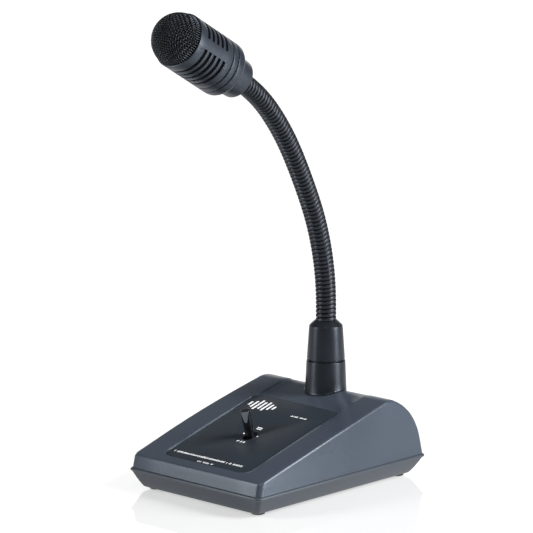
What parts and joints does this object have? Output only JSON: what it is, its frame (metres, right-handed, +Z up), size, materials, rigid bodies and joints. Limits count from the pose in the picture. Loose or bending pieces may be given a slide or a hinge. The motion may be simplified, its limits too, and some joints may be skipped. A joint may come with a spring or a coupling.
{
  "type": "gooseneck desk microphone",
  "caption": "Desk paging microphone: wedge base with talk lever, flexible neck and slotted head with domed mesh grille.",
  "frame": {"origin": "on the desk surface, below the middle of the outline seen from above", "axes": "+Z up; -Y is the front, towards the person speaking, and the head points that way; +X is the person's right"},
  "size_m": [0.13, 0.2084, 0.3514],
  "materials": {
    "casing": "satin blue-grey charcoal ABS with a fine moulded grain",
    "label": "matt dark charcoal overlay with white marks",
    "black_plastic": "semi-gloss black nylon",
    "rubber": "matt black rubber",
    "painted_metal": "satin dark blue-grey paint",
    "neck_metal": "glossy black plated coil",
    "grille_mesh": "black coated woven wire",
    "steel": "zinc plated",
    "brass": "plain brass",
    "copper": "enamelled copper wire",
    "iron": "plain grey iron",
    "board": "green glass-fibre board",
    "foam": "open-cell black foam",
    "film": "thin polyester film"
  },
  "bodies": {
    "base": {"top_cover": "casing", "bottom_tray": "casing", "label_plate": "label", "switch_bezel": "label", "switch_body": "black_plastic", "switch_pivot_pin": "steel", "switch_contact_front": "brass", "switch_contact_rear": "brass", "foot_1": "rubber", "foot_2": "rubber", "foot_3": "rubber", "foot_4": "rubber", "ballast_weight": "iron", "ballast_screw_1": "steel", "ballast_screw_2": "steel", "case_screw_1": "steel", "case_screw_2": "steel", "case_screw_3": "steel", "case_screw_4": "steel", "circuit_board": "board", "board_screw_1": "steel", "board_screw_2": "steel", "transformer_core": "iron", "transformer_winding": "copper", "output_socket_shell": "steel", "output_socket_insert": "black_plastic", "socket_screw_1": "steel", "socket_screw_2": "steel", "lower_collar": "painted_metal", "upper_collar": "painted_metal", "neck_stud": "steel", "neck_lock_nut": "brass", "neck_link_0": "neck_metal", "neck_cable": "rubber"},
    "switch_lever": {"switch_lever": "black_plastic"},
    "neck_1": {"neck_link_1": "neck_metal"},
    "neck_2": {"neck_link_2": "neck_metal"},
    "neck_3": {"neck_link_3": "neck_metal"},
    "neck_4": {"neck_link_4": "neck_metal"},
    "neck_5": {"neck_link_5": "neck_metal"},
    "neck_6": {"neck_link_6": "neck_metal"},
    "neck_7": {"neck_link_7": "neck_metal"},
    "head": {"neck_link_8": "neck_metal", "neck_boot": "painted_metal", "rear_cap": "painted_metal", "trim_ring": "painted_metal", "neck_end_nut": "brass", "head_body": "painted_metal", "grille": "grille_mesh", "grille_rim": "grille_mesh", "foam_liner": "foam", "capsule_housing": "black_plastic", "capsule_yoke": "iron", "capsule_magnet": "iron", "capsule_pole_piece": "steel", "voice_coil": "copper", "diaphragm": "film", "capsule_cover": "black_plastic", "shock_ring_rear": "rubber", "shock_ring_front": "rubber"}
  },
  "joints": [
    {"name": "talk_lever", "type": "hinge", "parent": "base", "child": "switch_lever", "pos_m": [0, -0.01257, 0.03266], "axis": [1, 0, 0], "range_deg": [-15, 15]},
    {"name": "neck_bend_1", "type": "hinge", "parent": "base", "child": "neck_1", "pos_m": [0, 0.06563, 0.1285], "axis": [1, 0, 0], "range_deg": [-35, 20], "deforming": ["neck_cable"]},
    {"name": "neck_sway_1", "type": "hinge", "parent": "neck_1", "child": "neck_2", "pos_m": [0, 0.06292, 0.1547], "axis": [0, 0.9853, 0.1706], "range_deg": [-20, 20]},
    {"name": "neck_bend_2", "type": "hinge", "parent": "neck_2", "child": "neck_3", "pos_m": [0, 0.05668, 0.18029], "axis": [1, 0, 0], "range_deg": [-35, 20]},
    {"name": "neck_sway_2", "type": "hinge", "parent": "neck_3", "child": "neck_4", "pos_m": [0, 0.04712, 0.20483], "axis": [0, 0.9101, 0.4144], "range_deg": [-20, 20]},
    {"name": "neck_bend_3", "type": "hinge", "parent": "neck_4", "child": "neck_5", "pos_m": [0, 0.03554, 0.2285], "axis": [1, 0, 0], "range_deg": [-35, 20]},
    {"name": "neck_sway_3", "type": "hinge", "parent": "neck_5", "child": "neck_6", "pos_m": [0, 0.02235, 0.2513], "axis": [0, 0.8342, 0.5514], "range_deg": [-20, 20]},
    {"name": "neck_bend_4", "type": "hinge", "parent": "neck_6", "child": "neck_7", "pos_m": [0, 0.00641, 0.27227], "axis": [1, 0, 0], "range_deg": [-35, 20]},
    {"name": "neck_sway_4", "type": "hinge", "parent": "neck_7", "child": "head", "pos_m": [0, -0.013, 0.29003], "axis": [0, 0.59, 0.8074], "range_deg": [-20, 20]}
  ]
}
